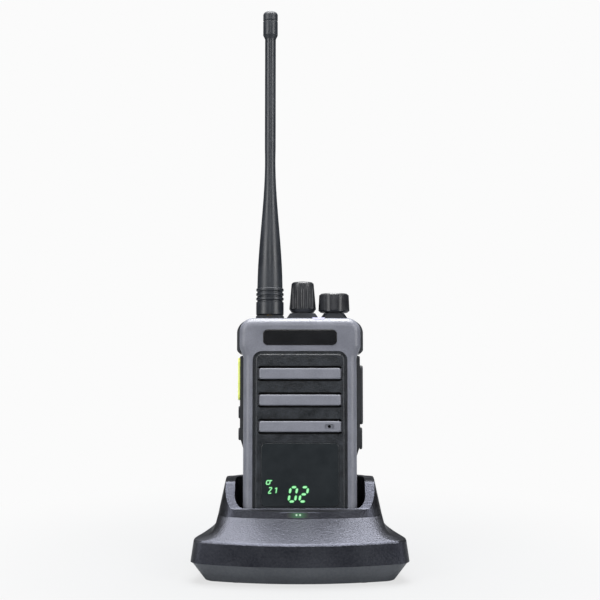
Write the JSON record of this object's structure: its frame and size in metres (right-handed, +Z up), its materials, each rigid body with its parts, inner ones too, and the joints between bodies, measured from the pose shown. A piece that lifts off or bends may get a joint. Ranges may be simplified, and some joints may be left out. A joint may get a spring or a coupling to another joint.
{
  "type": "two way radio with desktop charger",
  "caption": "Handheld two way radio with whip antenna, top knobs, barred speaker grille and push-to-talk button, standing in a single-pocket desktop charging cradle.",
  "frame": {"origin": "on the table under the middle of the charger's base", "axes": "+Z up, the front with the speaker grille and the charger's ramp faces -Y, +X to the right seen from the front"},
  "size_m": [0.1018, 0.0835, 0.2731],
  "materials": {
    "grey_shell": "moulded polycarbonate blend, fine spark texture, mid grey",
    "grey_bar": "moulded polycarbonate blend, satin, light grey",
    "black_panel": "moulded ABS, satin black",
    "black_casing": "moulded polycarbonate blend, fine texture, black",
    "badge": "black plate with a bright rim, bare",
    "window": "smoked acrylic, gloss",
    "light_pipe": "frosted clear polycarbonate",
    "green_light_pipe": "clear polycarbonate lit green",
    "black_rubber": "moulded elastomer, black",
    "ptt_yellow": "moulded elastomer, yellow green",
    "knob_black": "moulded elastomer over nylon, black",
    "antenna_black": "moulded polyurethane, black",
    "brass": "turned and plated",
    "steel": "zinc plated",
    "gold": "gold plated",
    "board_green": "glass epoxy laminate with solder mask",
    "felt": "woven acoustic cloth, black",
    "speaker_paper": "polymer film",
    "component_black": "moulded epoxy",
    "seal_rubber": "silicone",
    "cell_wrap": "shrink wrap over a steel can",
    "charger_black": "moulded ABS, spark textured, black",
    "charger_base": "moulded ABS, smooth, black",
    "shaft_steel": "turned"
  },
  "bodies": {
    "charger": {"charger_upper_shell": "charger_black", "charger_base_tray": "charger_base", "charger_feet": "seal_rubber", "charger_screws": "steel", "charger_board": "board_green", "charger_led": "light_pipe", "charger_light_pipe": "green_light_pipe", "charger_inlet": "component_black", "contact_carrier": "component_black", "contact_spring_left": "steel", "contact_spring_right": "steel"},
    "contact_left": {"contact_pin_left": "gold"},
    "contact_right": {"contact_pin_right": "gold"},
    "radio": {"front_shell": "grey_shell", "badge_plate": "badge", "top_light_pipe": "light_pipe", "body_seal": "seal_rubber", "rear_housing": "black_casing", "rear_screws": "steel", "speaker_panel": "black_panel", "grille_bar_upper": "grey_bar", "grille_bar_middle": "grey_bar", "grille_bar_lower": "grey_bar", "grille_felt": "felt", "speaker_frame": "steel", "speaker_cone": "speaker_paper", "microphone": "seal_rubber", "display_window": "window", "display_module": "component_black", "main_board": "board_green", "rf_shield": "steel", "channel_switch": "component_black", "volume_control": "component_black", "antenna_socket": "brass", "side_switches": "component_black", "left_strip": "black_rubber", "right_strip": "black_rubber", "jack_block": "component_black", "jack_cover_anchor": "black_rubber", "battery_tray": "black_casing", "battery_lid": "black_casing", "battery_cells": "cell_wrap", "battery_terminals": "gold", "charging_contacts": "gold", "clip_bracket": "black_casing", "clip_spring": "steel"},
    "antenna": {"antenna_whip": "antenna_black", "antenna_stud": "brass"},
    "channel_knob": {"channel_knob": "knob_black", "channel_shaft": "shaft_steel"},
    "volume_knob": {"volume_knob": "knob_black", "volume_shaft": "shaft_steel"},
    "ptt_button": {"ptt_button": "ptt_yellow"},
    "side_key_upper": {"side_key_upper": "black_rubber"},
    "side_key_lower": {"side_key_lower": "black_rubber"},
    "jack_cover": {"jack_cover": "black_rubber"},
    "battery_latch": {"battery_latch": "black_casing"},
    "belt_clip": {"belt_clip": "black_casing", "clip_pin": "steel"}
  },
  "joints": [
    {"name": "radio_lift", "type": "slide", "parent": "charger", "child": "radio", "axis": [0, 0.1392, 0.9903], "range_m": [0, 0.06]},
    {"name": "contact_left_press", "type": "slide", "parent": "charger", "child": "contact_left", "axis": [0, 0.9903, -0.1392], "range_m": [0, 0.0008], "stiffness_N_per_m": 800, "deforming": ["contact_spring_left"]},
    {"name": "contact_right_press", "type": "slide", "parent": "charger", "child": "contact_right", "axis": [0, 0.9903, -0.1392], "range_m": [0, 0.0008], "stiffness_N_per_m": 800, "deforming": ["contact_spring_right"]},
    {"name": "antenna_unscrew", "type": "hinge", "parent": "radio", "child": "antenna", "pos_m": [-0.0149, 0.01714, 0.12049], "axis": [0, 0.1392, 0.9903], "range_deg": [0, 1440]},
    {"name": "channel_turn", "type": "hinge", "parent": "radio", "child": "channel_knob", "pos_m": [0.0013, 0.01633, 0.12191], "axis": [0, 0.1392, 0.9903], "range_deg": [-315, 22.5]},
    {"name": "volume_turn", "type": "hinge", "parent": "radio", "child": "volume_knob", "pos_m": [0.0168, 0.01633, 0.12191], "axis": [0, 0.1392, 0.9903], "range_deg": [-240, 60]},
    {"name": "ptt_press", "type": "slide", "parent": "radio", "child": "ptt_button", "axis": [1, 0, 0], "range_m": [0, 0.0008], "stiffness_N_per_m": 2500},
    {"name": "side_key_upper_press", "type": "slide", "parent": "radio", "child": "side_key_upper", "axis": [1, 0, 0], "range_m": [0, 0.0005], "stiffness_N_per_m": 3000},
    {"name": "side_key_lower_press", "type": "slide", "parent": "radio", "child": "side_key_lower", "axis": [1, 0, 0], "range_m": [0, 0.0005], "stiffness_N_per_m": 3000},
    {"name": "jack_cover_open", "type": "hinge", "parent": "radio", "child": "jack_cover", "pos_m": [0.0308, 0.00828, 0.06675], "axis": [0, 0.9903, -0.1392], "range_deg": [0, 100], "stiffness_Nm_per_rad": 0.002},
    {"name": "battery_latch_slide", "type": "slide", "parent": "radio", "child": "battery_latch", "axis": [0, -0.1392, -0.9903], "range_m": [0, 0.0019], "stiffness_N_per_m": 500},
    {"name": "belt_clip_open", "type": "hinge", "parent": "radio", "child": "belt_clip", "pos_m": [0, 0.03348, 0.10597], "axis": [1, 0, 0], "range_deg": [0, 20], "stiffness_Nm_per_rad": 0.5}
  ]
}
